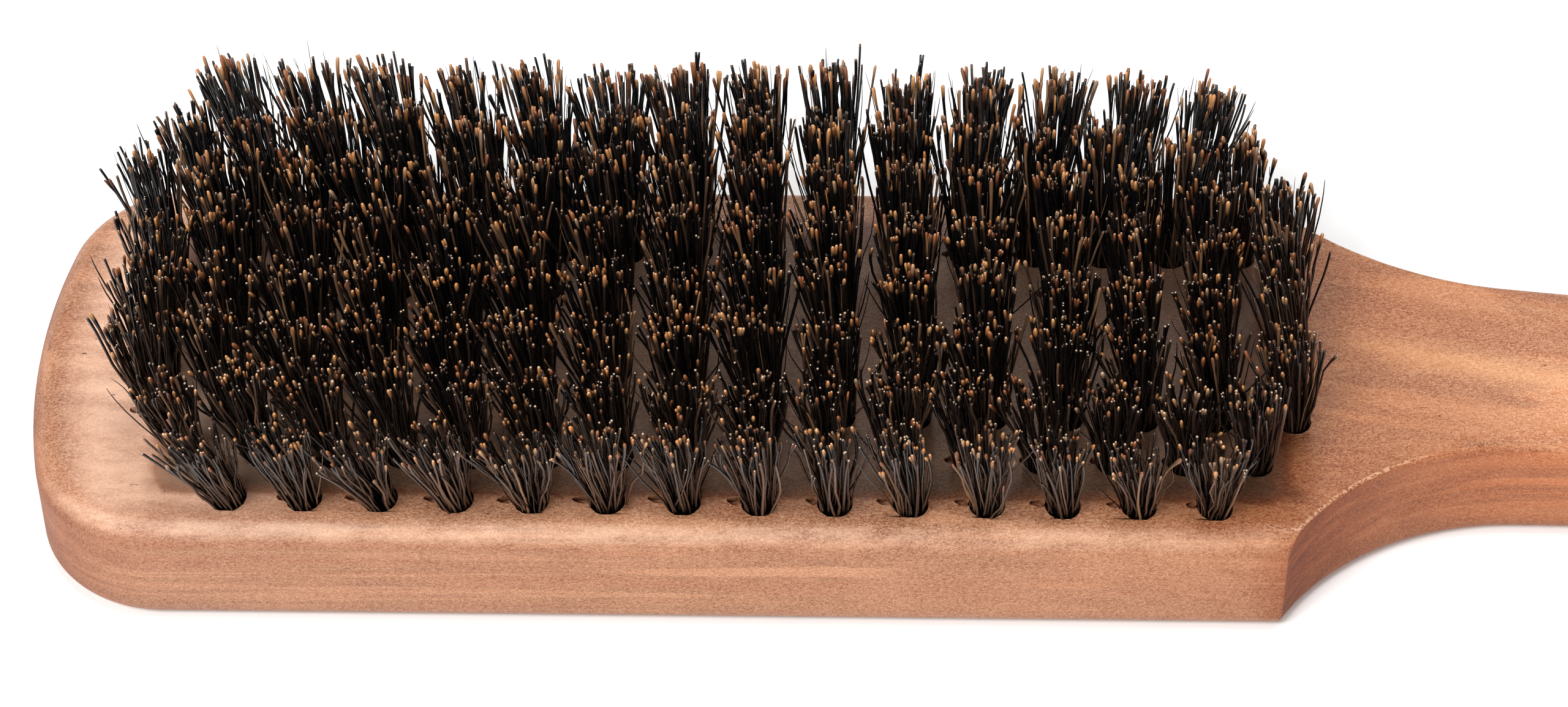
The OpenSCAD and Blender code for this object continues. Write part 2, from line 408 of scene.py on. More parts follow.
def painted_shade_between_tufts(x, y, z, normal):
    """1 on the top face between the tufts, where shade is painted; 0 outside the outer rows."""
    if z < THICKNESS - 0.05:
        return 0.0
    half_x = (COLUMNS - 1) / 2 * max(ROW_STEP)
    half_y = (ROWS - 1) / 2 * ROW_PITCH
    ends = ease((half_x - abs(x - FIELD_X) + 0.5) / 5)
    return ends * ease((half_y + y) / 3.0) * ease((half_y + 1 - y) / 8)


def worn_edge(x, y, z, normal):
    """Above 0 on the crisp top edge of the neck cuts, where the finish has chipped."""
    from_cut = abs(math.hypot(x - CUT_X, CUT_Y - abs(y)) - NECK_CUT_R)
    if x < ARRIS_X - 0.2 or from_cut > 0.45 or z < THICKNESS - 0.2:
        return 0.0
    return 0.45 * ease((CUT_X - 2 - x) / 12)


def painted_tip_sheen(x, y, z, normal):
    """1 on the tip, a few millimetres in from its end, where a pale sheen is painted.

    It has no limit in height, so the far side wall and the back beside the tip are pale too.
    """
    from_rim = TIP_ARC_R - math.hypot(x - TIP_ARC_X, y)
    return ease((from_rim - 2.5) / 5) * ease((TIP_X + 36 - x) / 16) * ease((y + HALF_HEAD) / 7)


def facing_up(x, y, z, normal):
    return max(0.0, normal.z)


def painted_edge_highlight(x, y, z, normal):
    """1 halfway round the head's rounded top edge, most of all towards the tip, where a highlight is
    painted.
    """
    if z < THICKNESS - HEAD_ROUND - 0.1 or z > THICKNESS - 0.02 or x > ARRIS_X:
        return 0.0
    middle = ease((normal.z - 0.25) / 0.4) * ease((1.0 - normal.z) / 0.12)
    along_side = ease((abs(normal.y) - 0.25) / 0.3)
    return middle * along_side * (1.0 - 0.5 * (x - TIP_X) / HEAD_LEN)


def paint(mesh, rules):
    """Stores what each rule gives at every vertex, for the materials to read."""
    for rule in rules:
        values = [rule(*(v.co / MM), v.normal) for v in mesh.vertices]
        attribute = mesh.attributes.new(rule.__name__, "FLOAT", "POINT")
        attribute.data.foreach_set("value", values)


def scatter(x0, x1, y0, y1, step, rng):
    """A loose grid of points, offset on every other line."""
    points = []
    for j in range(int((y1 - y0) / step) + 1):
        for i in range(int((x1 - x0) / step) + 1):
            x = x0 + (i + 0.5 * (j % 2)) * step + rng.uniform(-0.15, 0.15) * step
            points.append((x, y0 + j * step + rng.uniform(-0.15, 0.15) * step))
    return points


def circle(cx, cy, radius, count):
    turns = [2 * math.pi * i / count for i in range(count)]
    return [(cx + radius * math.cos(a), cy + radius * math.sin(a)) for a in turns]


def make_stock():
    """The head and handle, drilled for 124 tufts and for hanging."""
    rng = np.random.default_rng(SEED)
    parts = MeshParts()
    rings = [closed_ring(ring_front(k)) for k in range(RINGS)]
    for k in range(RINGS - 1):
        parts.strip(rings[k], rings[k + 1])

    rims, drilled = [], []
    for column, row in TUFTS:
        origin, turn = tuft_origin(column, row), tuft_turn(column, row)
        section = hole_section(row, rng)
        rim = []
        for x, y, _ in section:
            p = origin + turn @ Vector((x, y, on_top_plane(turn, x, y)))
            rim.append((p.x, p.y))
        rims.append(rim)
        drilled.append((origin, turn, section))

    hang_mouth_r = HANG_D / 2 + HANG_CHAMFER
    hang_count = 48
    hang_mouth = circle(HANG_X, 0, hang_mouth_r, hang_count)
    hang_bore = circle(HANG_X, 0, HANG_D / 2, hang_count)

    rim_top = [(x, y) for x, y, _ in rings[0]]
    inner_top = [(x, y) for x, y, _ in closed_ring(ring_front(0, 0.3))]
    free = []
    for x, y in scatter(TIP_X + 5, ARRIS_X, -24, 24, 2.0, rng) + scatter(
        ARRIS_X, END_X - 5, -13, 13, 1.6, rng
    ):
        if not inside(inner_top, x, y) or math.hypot(x - HANG_X, y) < hang_mouth_r + 0.6:
            continue
        if all(math.hypot(x - o.x, y - o.y) > HOLE_R + 0.7 for o, _, _ in drilled):
            free.append((x, y))
    verts, faces = fill_face([rim_top, inner_top], rims + [hang_mouth], free, top_height)
    parts.add(verts, faces)

    rim_back = [(x, y) for x, y, _ in rings[-1]]
    inner_back = [(x, y) for x, y, _ in closed_ring(ring_front(RINGS - 1, 0.3))]
    verts, faces = fill_face([rim_back, inner_back], [hang_mouth], [], lambda x, y: 0.0)
    parts.add(verts, faces)

    # Walls and floor of each drilled hole; the nicks of the anchor are shallow
    for (origin, turn, section), rim in zip(drilled, rims):
        n = len(section)
        mouth = [(x, y, THICKNESS) for x, y in rim]

        def at_depth(depth, shrink, origin=origin, turn=turn, section=section):
            loop = []
            for x, y, nicked in section:
                if nicked and shrink:
                    x = math.copysign(HOLE_R * 0.99, x)
                    y *= 0.3
                loop.append(tuple(origin + turn @ Vector((x, y, -depth))))
            return loop

        shallow = at_depth(NICK_DEPTH, False)
        under = at_depth(NICK_DEPTH + 0.25, True)
        deep = at_depth(HOLE_DEPTH, True)
        parts.strip(mouth, shallow)
        parts.strip(shallow, under)
        parts.strip(under, deep)
        parts.add(deep, [tuple(range(n))])

    # The hanging hole, chamfered at both mouths
    upper = [(x, y, top_height(x, y)) for x, y in hang_mouth]
    upper_in = [(x, y, top_height(x, y) - HANG_CHAMFER) for x, y in hang_bore]
    lower_in = [(x, y, HANG_CHAMFER) for x, y in hang_bore]
    lower = [(x, y, 0.0) for x, y in hang_mouth]
    for a, b in ((upper, upper_in), (upper_in, lower_in), (lower_in, lower)):
        parts.strip(a, b)
    made = parts.to_object("wood_stock")
    # Three of these rules mark painted light: shade between the tufts, a sheen on the tip and a
    # highlight on the head's top edge
    paint(made.data, (end_grain, painted_shade_between_tufts, worn_edge, painted_tip_sheen, facing_up, painted_edge_highlight))
    return made


# ---------------------------------------------------------------- bristles

SIDES = 5
# Where along a bristle its rings stand, and how thick it is at each, from wood to cut end
ALONG = np.array([0.0, 0.16, 0.32, 0.48, 0.64, 0.78, 0.89, 0.95, 0.985, 1.0])
BLUNT = np.array([1.0, 1.0, 0.98, 0.96, 0.95, 0.96, 1.05, 1.22, 1.28, 0.95])
FINE = np.array([1.0, 1.0, 0.95, 0.88, 0.80, 0.70, 0.58, 0.46, 0.36, 0.22])
ROOT_DEPTH = 2.0
PLUG_R = 1.74
CAP_FROM_TIP = -0.15


def sunflower(count, radius, rng):
    """Points spread evenly over a disc, a little disturbed."""
    k = np.arange(count)
    r = radius * np.sqrt((k + 0.5) / count)
    a = k * math.pi * (3 - math.sqrt(5)) + rng.uniform(0, 2 * math.pi)
    points = np.stack([r * np.cos(a), r * np.sin(a)], axis=1)
    return points + rng.normal(0, 0.05, points.shape)


def tip_shift(column, row):
    """How far along X a tuft's tips have been pushed over by use, in millimetres."""
    v = row / (ROWS - 1)
    place = column - first_column(row)
    last = ROW_COUNT[row] - 1
    at_tip, at_neck = math.exp(-place / 1.3), math.exp((place - last) / 1.2)
    near = -1.3 - 0.7 * math.exp(-place)
    far = -4.3 + 5.2 * place / last + 1.6 * at_neck
    middle = 2.6 * at_tip - 2.4 * at_neck
    return near + (far - near) * v + middle * math.sin(math.pi * v)


def bristle_length(column):
    """The cut ends stand highest over the tip half of the head, and drop at the neck end."""
    u = 2 * column / (COLUMNS - 1) - 1
    return BRISTLE_H + 1.2 - 0.7 * ease(u / 0.6) - 1.3 * ease((u - 0.6) / 0.35)


def untidiness(column):
    """1 where use has ruffled the tufts, over the tip half of the head; 0 near the neck."""
    return ease((9.5 - column) / 4) * ease((column + 1.5) / 3)


def row_lean(row):
    """Lean of a row's tips across the head, in degrees."""
    v = 2 * row / (ROWS - 1) - 1
    return v * (NEAR_LEAN if v < 0 else ROW_LEAN)


class Bristles:
    """Collects centre lines of bristles, then makes one mesh of tubes from them."""

    def __init__(self):
        self.paths, self.radii, self.tint, self.amber = [], [], [], []

    def add(self, path, radius, tint, amber):
        self.paths.append(path)
        self.radii.append(radius)
        self.tint.append(tint)
        self.amber.append(amber)

    def to_object(self, name, rng):
        paths = np.concatenate(self.paths)
        radii = np.concatenate(self.radii)
        tint = np.concatenate(self.tint)
        amber = np.concatenate(self.amber)
        count, steps = radii.shape

        chord = paths[:, -1] - paths[:, 0]
        chord /= np.linalg.norm(chord, axis=1, keepdims=True)
        ref = np.array([1.0, 0.0, 0.0]) + 0.0 * chord
        side_a = ref - chord * np.sum(ref * chord, axis=1, keepdims=True)
        side_a /= np.linalg.norm(side_a, axis=1, keepdims=True)
        side_b = np.cross(chord, side_a)

        turn = rng.uniform(0, 2 * math.pi, count)[:, None]
        angle = turn + 2 * math.pi * np.arange(SIDES)[None, :] / SIDES
        flat = rng.uniform(0.72, 1.0, count)[:, None]
        skew = rng.uniform(0, math.pi, count)[:, None]
        squash = 1 - (1 - flat) * np.cos(angle - skew) ** 2
        ca = (np.cos(angle) * squash)[:, None, :, None]
        sa = (np.sin(angle) * squash)[:, None, :, None]
        r = radii[:, :, None, None]
        tube = paths[:, :, None, :] + r * (ca * side_a[:, None, None] + sa * side_b[:, None, None])
        cap = paths[:, -1] + chord * radii[:, -1:] * 0.35

        ring_verts = steps * SIDES
        per_bristle = ring_verts + 1
        co = np.concatenate([tube.reshape(count, ring_verts, 3), cap[:, None]], axis=1)

        j = np.arange(steps - 1)[:, None] * SIDES
        s = np.arange(SIDES)[None, :]
        n = (s + 1) % SIDES
        quads = np.stack([j + s, j + n, j + n + SIDES, j + s + SIDES], axis=2).reshape(-1, 4)
        last = (steps - 1) * SIDES
        tris = np.stack([last + s[0], last + n[0], np.full(SIDES, ring_verts)], axis=1)
        offset = np.arange(count)[:, None, None] * per_bristle
        quads = (quads[None] + offset).reshape(-1, 4)
        tris = (tris[None] + offset).reshape(-1, 3)

        mesh = bpy.data.meshes.new(name)
        mesh.vertices.add(count * per_bristle)
        mesh.vertices.foreach_set("co", (co * MM).ravel())
        loops = np.concatenate([quads.ravel(), tris.ravel()])
        mesh.loops.add(len(loops))
        mesh.loops.foreach_set("vertex_index", loops)
        sizes = np.concatenate([np.full(len(quads), 4), np.full(len(tris), 3)])
        starts = np.concatenate([[0], np.cumsum(sizes)[:-1]])
        mesh.polygons.add(len(sizes))
        mesh.polygons.foreach_set("loop_start", starts)
        mesh.polygons.foreach_set("use_smooth", np.ones(len(sizes), bool))
        mesh.update(calc_edges=True)
        mesh.validate()

        # Distance from the cut end, in millimetres, for the colour of the tip; below 0 on its cap
        seg = np.linalg.norm(np.diff(paths, axis=1), axis=2)
        to_end = np.cumsum(seg[:, ::-1], axis=1)[:, ::-1]
        from_tip = np.concatenate([to_end, np.zeros((count, 1))], axis=1)
        on_rings = np.repeat(from_tip, SIDES, axis=1)
        per_vertex = {
            "from_tip": np.concatenate([on_rings, np.full((count, 1), CAP_FROM_TIP)], axis=1),
            "tint": np.repeat(tint[:, None], per_bristle, axis=1),
            "amber": np.repeat(amber[:, None], per_bristle, axis=1),
        }
        for key, values in per_vertex.items():
            attribute = mesh.attributes.new(key, "FLOAT", "POINT")
            attribute.data.foreach_set("value", values.ravel().astype(np.float32))
        ob = bpy.data.objects.new(name, mesh)
        bpy.context.scene.collection.objects.link(ob)
        return ob


def bezier(p0, p1, p2, p3, t):
    """Points on many cubic curves at once."""
    t = t[None, :, None]
    a, b, c, d = (p[:, None, :] for p in (p0, p1, p2, p3))
    return a * (1 - t) ** 3 + 3 * b * t * (1 - t) ** 2 + 3 * c * t**2 * (1 - t) + d * t**3


def grow_tuft(bristles, column, row, rng):
    """The bristles of one tuft, from inside its hole to their uneven cut ends."""
    origin = np.array(tuft_origin(column, row))
    turn = np.array(tuft_turn(column, row))
    drill = turn[:, 2]
    count = int(rng.integers(60, 74))
    roots = sunflower(count, PLUG_R, rng)

    # The whole tuft leans out across the head, and has been pushed over along it
    lean = math.radians(row_lean(row) + rng.normal(0, 1.5))
    height = bristle_length(column) + rng.normal(0, 0.3)
    centre_tip = origin + np.array(
        [
            tip_shift(column, row) + rng.normal(0, 0.4),
            height * math.sin(lean),
            height * math.cos(lean),
        ]
    )
    axis = centre_tip - origin
    axis /= np.linalg.norm(axis)
    across = np.array([1.0, 0.0, 0.0]) - axis * axis[0]
    across /= np.linalg.norm(across)
    beside = np.cross(axis, across)

    # Bristles near the rim of the hole fan out furthest, and a few of them very far
    spread = rng.uniform(1.6, 1.95)
    loose = untidiness(column)
    wild = np.where(rng.random(count) < 0.14, rng.uniform(1.1, 1.6, count), 1.0)[:, None]
    fan_x = (spread + 0.1 + 0.3 * loose) * wild * roots[:, :1]
    fan_x = fan_x + rng.normal(0, 0.7 + 0.35 * loose, (count, 1))
    fan_y = 0.78 * spread * wild * roots[:, 1:]
    fan_y = fan_y + rng.normal(0, 0.45 + 0.15 * loose, (count, 1))
    tips = centre_tip + fan_x * across + fan_y * beside
    short = np.where(rng.random(count) < 0.26, rng.exponential(1.5, count), 0.0)
    fall = (fan_x**2 + fan_y**2) / (2 * height)
    uneven = 0.5 + 0.4 * row / (ROWS - 1)
    tips += axis * (rng.normal(0, uneven, (count, 1)) - np.minimum(short, 4.5)[:, None] - fall)

    local = np.stack([roots[:, 0], roots[:, 1], np.zeros(count)], axis=1) @ turn.T
    surface = origin + local
    start = surface - ROOT_DEPTH * drill
    reach = np.linalg.norm(tips - surface, axis=1, keepdims=True)
    bend = rng.normal(0, 0.5, (count, 3)) * wild
    p1 = surface + drill * reach * 0.14
    p2 = surface * 0.42 + tips * 0.58 + bend
    path = bezier(start, p1, p2, tips, ALONG)

    wave = rng.normal(0, 0.11, (count, 1, 1)) * np.sin(
        ALONG[None, :, None] * rng.uniform(7, 16, (count, 1, 1)) + rng.uniform(0, 6, (count, 1, 1))
    )
    path += wave * across + np.roll(wave, 1, axis=0) * beside

    fine = rng.random(count) < 0.2
    thick = np.where(fine, rng.uniform(0.075, 0.11, count), rng.uniform(0.13, 0.185, count))
    tint = rng.random(count)
    # Painted light: half of the near row's shafts move to the pale brown end of the shaft ramp, as lit
    # from the front
    if row == 0:
        tint = np.where(tint < 0.5, 0.9 * tint, 0.55 + 0.43 * tint)
    plain = fine | (rng.random(count) < 0.56)
    amber = np.where(plain, rng.uniform(0, 0.1, count), rng.beta(1.3, 1.9, count) * 0.85 + 0.15)
    amber *= 1 + (row / (ROWS - 1)) ** 4
    flare = np.where(plain, rng.uniform(-0.2, 0.6, count), rng.uniform(0.7, 2.3, count))
    swell = 1 + (BLUNT - 1) * flare[:, None]
    profile = np.where(fine[:, None], FINE, swell)
    bristles.add(path, thick[:, None] * profile, tint, amber)

    # Some cut ends have split: a second prong leaves the shaft near its end
    split = np.flatnonzero(~fine & (rng.random(count) < 0.14))
    if len(split):
        apart = rng.normal(0, 1, (len(split), 1, 3))
        apart -= axis * (apart @ axis)[..., None]
        apart /= np.linalg.norm(apart, axis=2, keepdims=True)
        open_by = np.clip((ALONG - 0.86) / 0.14, 0, 1)[None, :, None]
        prong = path[split] + apart * open_by * rng.uniform(0.25, 0.5, (len(split), 1, 1))
        bristles.add(prong, thick[split, None] * profile[split] * 0.8, tint[split], amber[split])

    # A few long strays cross to the tufts beside
    strays = int(rng.integers(3, 8))
    side = rng.normal(0, 1, (strays, 3)) * np.array([2.7, 1.3, 0.0])
    stray_tip = centre_tip + side + axis * rng.uniform(-3.0, 1.2, (strays, 1))
    stray_root = surface[rng.integers(0, count, strays)]
    stray_start = stray_root - ROOT_DEPTH * drill
    middle = stray_root * 0.5 + stray_tip * 0.5 + side * 0.35
    stray_path = bezier(stray_start, stray_root + drill * 2.5, middle, stray_tip, ALONG)
    stray_r = rng.uniform(0.06, 0.15, (strays, 1)) * FINE
    bristles.add(stray_path, stray_r, rng.random(strays), rng.uniform(0, 0.5, strays))


def make_bristles():
    """One piece of bristles for each column of tufts."""
    made = []
    for column in range(COLUMNS):
        rng = np.random.default_rng(SEED + 100 + column)
        bristles = Bristles()
        for row in range(ROWS):
            if has_tuft(column, row):
                grow_tuft(bristles, column, row, rng)
        made.append(bristles.to_object(f"bristles_col_{column + 1:02d}", rng))
    return made


# ---------------------------------------------------------------- materials


class Nodes:
    """Short ways to build a node tree."""

    def __init__(self, name):
        self.material = bpy.data.materials.new(name)
        self.material.use_nodes = True
        self.tree = self.material.node_tree
        self.shader = self.tree.nodes["Principled BSDF"]

    def new(self, kind, **settings):
        node = self.tree.nodes.new(kind)
        for key, value in settings.items():
            setattr(node, key, value)
        return node

    def link(self, source, target):
        self.tree.links.new(source, target)

    def feed(self, socket, value):
        if isinstance(value, bpy.types.NodeSocket):
            self.link(value, socket)
        elif isinstance(value, tuple) and socket.type == "RGBA":
            socket.default_value = (*value, 1.0)
        else:
            socket.default_value = value

    def object_space(self):
        return self.new("ShaderNodeTexCoord").outputs["Object"]

    def stretch(self, vector, scale, turn=(0, 0, 0)):
        node = self.new("ShaderNodeMapping")
        self.link(vector, node.inputs["Vector"])
        node.inputs["Scale"].default_value = scale
        node.inputs["Rotation"].default_value = turn
        return node.outputs["Vector"]

    def noise(self, vector, scale=1.0, detail=2.0, rough=0.5, distort=0.0):
        node = self.new("ShaderNodeTexNoise")
        self.link(vector, node.inputs["Vector"])
        node.inputs["Scale"].default_value = scale
        node.inputs["Detail"].default_value = detail
        node.inputs["Roughness"].default_value = rough
        node.inputs["Distortion"].default_value = distort
        return node.outputs["Fac"]

    def remap(self, value, low, high, to_low=0.0, to_high=1.0):
        node = self.new("ShaderNodeMapRange", clamp=True)
        self.feed(node.inputs["Value"], value)
        limits = {"From Min": low, "From Max": high, "To Min": to_low, "To Max": to_high}
        for key, number in limits.items():
            node.inputs[key].default_value = number
        return node.outputs["Result"]

    def math(self, operation, a, b=0.0):
        node = self.new("ShaderNodeMath", operation=operation)
        self.feed(node.inputs[0], a)
        self.feed(node.inputs[1], b)
        return node.outputs[0]

    def mix(self, factor, a, b, blend="MIX"):
        node = self.new("ShaderNodeMix", data_type="RGBA", blend_type=blend)
        self.feed(node.inputs["Factor"], factor)
        self.feed(node.inputs["A"], a)
        self.feed(node.inputs["B"], b)
        return node.outputs["Result"]

    def ramp(self, value, stops):
        node = self.new("ShaderNodeValToRGB")
        self.link(value, node.inputs["Fac"])
        ramp = node.color_ramp
        while len(ramp.elements) < len(stops):
            ramp.elements.new(0.5)
        for element, (position, colour) in zip(ramp.elements, stops):
            element.position = position
            element.color = (*colour, 1.0)
        return node.outputs["Color"]

    def attribute(self, name):
        return self.new("ShaderNodeAttribute", attribute_name=name).outputs["Fac"]

    def bump(self, height, distance, strength=1.0, normal=None):
        node = self.new("ShaderNodeBump")
        self.link(height, node.inputs["Height"])
        node.inputs["Distance"].default_value = distance
        node.inputs["Strength"].default_value = strength
        if normal:
            self.link(normal, node.inputs["Normal"])
        return node.outputs["Normal"]


def srgb(r, g, b):
    """Linear colour of an 8-bit sRGB one."""
    out = []
    for c in (r, g, b):
        c /= 255
        out.append(c / 12.92 if c <= 0.04045 else ((c + 0.055) / 1.055) ** 2.4)
    return tuple(out)


# The paler streak, part wood figure and part painted sheen where the crown starts: how far it falls
# along X, and where it passes
STREAK_SLOPE = 0.25
STREAK_X = ARRIS_X + 12
STREAK_Y = 1.7
STREAK_HALF_W = 3.4
STREAK_CORE = 0.3


def wood_material():
    """Oiled beech: a fine pale and brown speckle drawn out along X, over layers that lie flat."""
    n = Nodes("wood")
    space = n.object_space()
    place = n.new("ShaderNodeSeparateXYZ")
    n.link(space, place.inputs["Vector"])
    upward = n.attribute("facing_up")

    speckle = n.noise(n.stretch(space, (5000, 7400, 7400)), 1.0, 2, 0.6)
    flecks = n.noise(n.stretch(space, (1900, 4300, 4300)), 1.0, 2, 0.6, 0.3)
    patch = n.noise(n.stretch(space, (150, 420, 420)), 1.0, 3, 0.6)
    broad = n.noise(n.stretch(space, (18, 70, 70), (0.0, 0.0, 0.15)), 1.0, 3, 0.5, 0.4)
    tilted = n.stretch(space, (1, 1, 1), (0.03, 0.012, 0.14))
    layers = n.noise(n.stretch(tilted, (6, 120, 560)), 1.0, 2, 0.5, 0.3)
    fine_layers = n.noise(n.stretch(tilted, (10, 240, 1500)), 1.0, 2, 0.5, 0.3)
    specks = n.noise(n.stretch(space, (1500, 2400, 2400)), 1.0, 0, 0.5)

    # Pinker at the tip of the head, dark orange at the neck and paler along the handle
    along = place.outputs["X"]
    tip_tone = n.mix(n.remap(broad, 0.38, 0.62), srgb(132, 84, 60), srgb(160, 111, 85))
    neck_tone = n.mix(n.remap(broad, 0.38, 0.62), srgb(124, 66, 34), srgb(150, 88, 52))
    handle_tone = n.mix(n.remap(broad, 0.38, 0.62), srgb(164, 96, 56), srgb(196, 128, 84))
    head = n.mix(n.remap(along, TIP_X * MM, ARRIS_X * MM), tip_tone, neck_tone)
    base = n.mix(n.remap(along, (ARRIS_X + 6) * MM, (ARRIS_X + 34) * MM), head, handle_tone)
    warm = n.mix(n.remap(layers, 0.49, 0.58, 0.0, 0.7), base, srgb(140, 74, 42))
    pale = n.mix(n.remap(layers, 0.47, 0.38, 0.0, 0.55), warm, srgb(196, 142, 112))
    lined = n.mix(n.remap(fine_layers, 0.53, 0.63, 0.0, 0.65), pale, srgb(126, 66, 38))
    patched = n.mix(n.remap(patch, 0.42, 0.7, 0.0, 0.3), lined, srgb(192, 140, 110))

    # A paler streak crosses the neck at a slant: part wood figure, part painted sheen on the crown
    off_line = n.math("ADD", place.outputs["Y"], n.math("MULTIPLY", along, STREAK_SLOPE))
    off_line = n.math("SUBTRACT", off_line, (STREAK_SLOPE * STREAK_X + STREAK_Y) * MM)
    wander = n.math("MULTIPLY", n.math("SUBTRACT", broad, 0.5), 6 * MM)
    off_line = n.math("ADD", n.math("ABSOLUTE", off_line), wander)
    streak = n.remap(off_line, STREAK_HALF_W * MM, STREAK_CORE * MM)
    streak = n.math("MULTIPLY", streak, n.remap(along, ARRIS_X * MM, (ARRIS_X + 16) * MM))
    streak = n.math("MULTIPLY", streak, n.remap(upward, 0.6, 0.95, 0.0, 0.5))
    patched = n.mix(streak, patched, srgb(244, 194, 152))

    # Painted shade: the lowest third of the sides is darker and duller towards the floor
    low = n.math("MULTIPLY", n.remap(place.outputs["Z"], 7.5 * MM, 1.5 * MM), n.remap(upward, 0.5, 0.1))
    low_shaded = n.mix(n.math("MULTIPLY", low, 0.5), patched, srgb(140, 98, 78))

    grain = n.math("ADD", n.math("MULTIPLY", speckle, 0.62), n.math("MULTIPLY", flecks, 0.38))
    gain = n.remap(upward, 0.2, 0.9, 2.6, 3.8)
    grain_mix = n.math("ADD", n.math("MULTIPLY", n.math("SUBTRACT", grain, 0.5), gain), 0.42)
    grain_mix.node.use_clamp = True
    dark = n.mix(1.0, low_shaded, (0.86, 0.69, 0.50), "MULTIPLY")
    light = n.mix(0.46, low_shaded, srgb(250, 203, 164))
    grained = n.mix(grain_mix, dark, light)

    # Slightly darker at the tip, but for a painted sheen on its top
    at_tip = n.remap(along, (TIP_X + 70) * MM, (TIP_X + 12) * MM)
    grained = n.mix(at_tip, grained, n.mix(1.0, grained, (0.89, 0.88, 0.92), "MULTIPLY"))
    tip_sheen = n.math("MULTIPLY", n.attribute("painted_tip_sheen"), n.remap(patch, 0.35, 0.65, 0.35, 0.65))
    grained = n.mix(tip_sheen, grained, srgb(250, 204, 176))

    # Darker at the neck, most of all on its top: partly the wood's tone, partly painted shade cast by
    # the tufts beside it
    rise = n.remap(along, (ARRIS_X - 20) * MM, (ARRIS_X - 3) * MM)
    at_neck = n.math("MULTIPLY", rise, n.remap(along, (ARRIS_X + 36) * MM, (ARRIS_X + 8) * MM))
    at_neck = n.math("MULTIPLY", at_neck, n.remap(upward, 0.5, 0.95, 0.4, 1.0))
    grained = n.mix(at_neck, grained, n.mix(1.0, grained, (0.74, 0.60, 0.46), "MULTIPLY"))

    # End grain drinks more oil, so it is darker
    cut_tone = n.mix(1.0, grained, (0.62, 0.33, 0.15), "MULTIPLY")
    oiled = n.mix(n.remap(n.attribute("end_grain"), 0.0, 0.85), grained, cut_tone)

    # Dark pores climb the steep part of the neck cuts at a slant
    slanted = n.stretch(space, (1, 1, 1), (-0.45, 0.0, 0.0))
    pores = n.noise(n.stretch(slanted, (50, 90, 1000)), 1.0, 3, 0.55, 0.3)
    steep = n.remap(n.attribute("end_grain"), 0.62, 0.9, 0.0, 0.7)
    pored = n.mix(n.math("MULTIPLY", steep, n.remap(pores, 0.5, 0.62)), oiled, srgb(74, 36, 22))

    # The head's rounded top edge gets a painted highlight, and small dark specks lie all over
    edge_highlight = n.math("MULTIPLY", n.attribute("painted_edge_highlight"), n.remap(patch, 0.35, 0.6, 0.1, 0.5))
    highlighted = n.mix(edge_highlight, pored, srgb(238, 196, 166))
    spotted = n.mix(n.remap(specks, 0.855, 0.88, 0.0, 0.8), highlighted, srgb(60, 34, 24))

    # Painted shade between the tufts: brown shade at the outer rows, then darker, greyer wood that
    # keeps its grain
    tuft_shade_mask = n.attribute("painted_shade_between_tufts")
    brown = n.mix(1.0, spotted, (0.50, 0.40, 0.34), "MULTIPLY")
    shade = n.mix(n.remap(tuft_shade_mask, 0.0, 0.25), spotted, brown)
    grey_shade = n.mix(0.3, n.mix(1.0, shade, (0.82, 1.12, 1.35), "MULTIPLY"), srgb(92, 78, 66))
    shaded_between_tufts = n.mix(n.remap(tuft_shade_mask, 0.2, 0.9, 0.0, 0.9), shade, grey_shade)
    ragged = n.math("MULTIPLY", n.attribute("worn_edge"), n.remap(flecks, 0.45, 0.55))
    worn = n.mix(ragged, shaded_between_tufts, srgb(224, 186, 154))
    n.link(worn, n.shader.inputs["Base Color"])
    matt = n.math("MULTIPLY", n.attribute("end_grain"), 0.3)
    n.link(n.math("ADD", n.remap(speckle, 0.3, 0.7, 0.54, 0.36), matt), n.shader.inputs["Roughness"])
    n.link(n.bump(flecks, 0.00004, 0.5, n.bump(speckle, 0.00003, 0.7)), n.shader.inputs["Normal"])
    n.shader.inputs["Specular IOR Level"].default_value = 0.3
    return n.material


def bristle_material():
    """Dark boar bristle, glossy, with amber cut ends."""
    n = Nodes("bristle")
    tint = n.attribute("tint")
    amber = n.attribute("amber")
    from_tip = n.attribute("from_tip")
    space = n.object_space()
    streak = n.noise(n.stretch(space, (2600, 2600, 420)), 1.0, 2)

    shaft = n.ramp(
        tint,
        [
            (0.0, srgb(8, 7, 9)),
            (0.60, srgb(15, 13, 13)),
            (0.85, srgb(46, 34, 28)),
            (0.96, srgb(96, 71, 55)),
            (0.985, srgb(134, 100, 70)),
        ],
    )
    tip = n.ramp(
        n.math("FRACT", n.math("MULTIPLY", tint, 7.31)),
        [
            (0.0, srgb(92, 54, 34)),
            (0.35, srgb(156, 92, 52)),
            (0.75, srgb(206, 144, 86)),
            (1.0, srgb(160, 130, 102)),
        ],
    )
    reach = n.math("MULTIPLY_ADD", amber, 0.95)
    reach.node.inputs[2].default_value = 0.35
    edge = n.math("ADD", from_tip, n.math("MULTIPLY", streak, 0.9))
    share = n.math("DIVIDE", edge, reach)
    fade = n.remap(share, 0.3, 1.7, 1.0, 0.0)
    strength = n.math("MULTIPLY", fade, n.remap(amber, 0.05, 0.4, 0.12, 1.0))
    body = n.mix(strength, shaft, tip)
    # The cut end itself is pale on a third of them
    open_end = n.remap(n.math("FRACT", n.math("MULTIPLY", tint, 23.7)), 0.6, 0.75)
    pale_cut = n.math("MULTIPLY", open_end, n.remap(from_tip, 0.0, -0.12, 0.0, 0.75))
    cut = n.mix(pale_cut, body, srgb(230, 204, 176))
    n.link(cut, n.shader.inputs["Base Color"])
    n.link(n.remap(streak, 0.3, 0.7, 0.18, 0.36), n.shader.inputs["Roughness"])
    n.link(n.bump(streak, 0.00002, 0.5), n.shader.inputs["Normal"])
    n.shader.inputs["Specular IOR Level"].default_value = 0.5
    return n.material


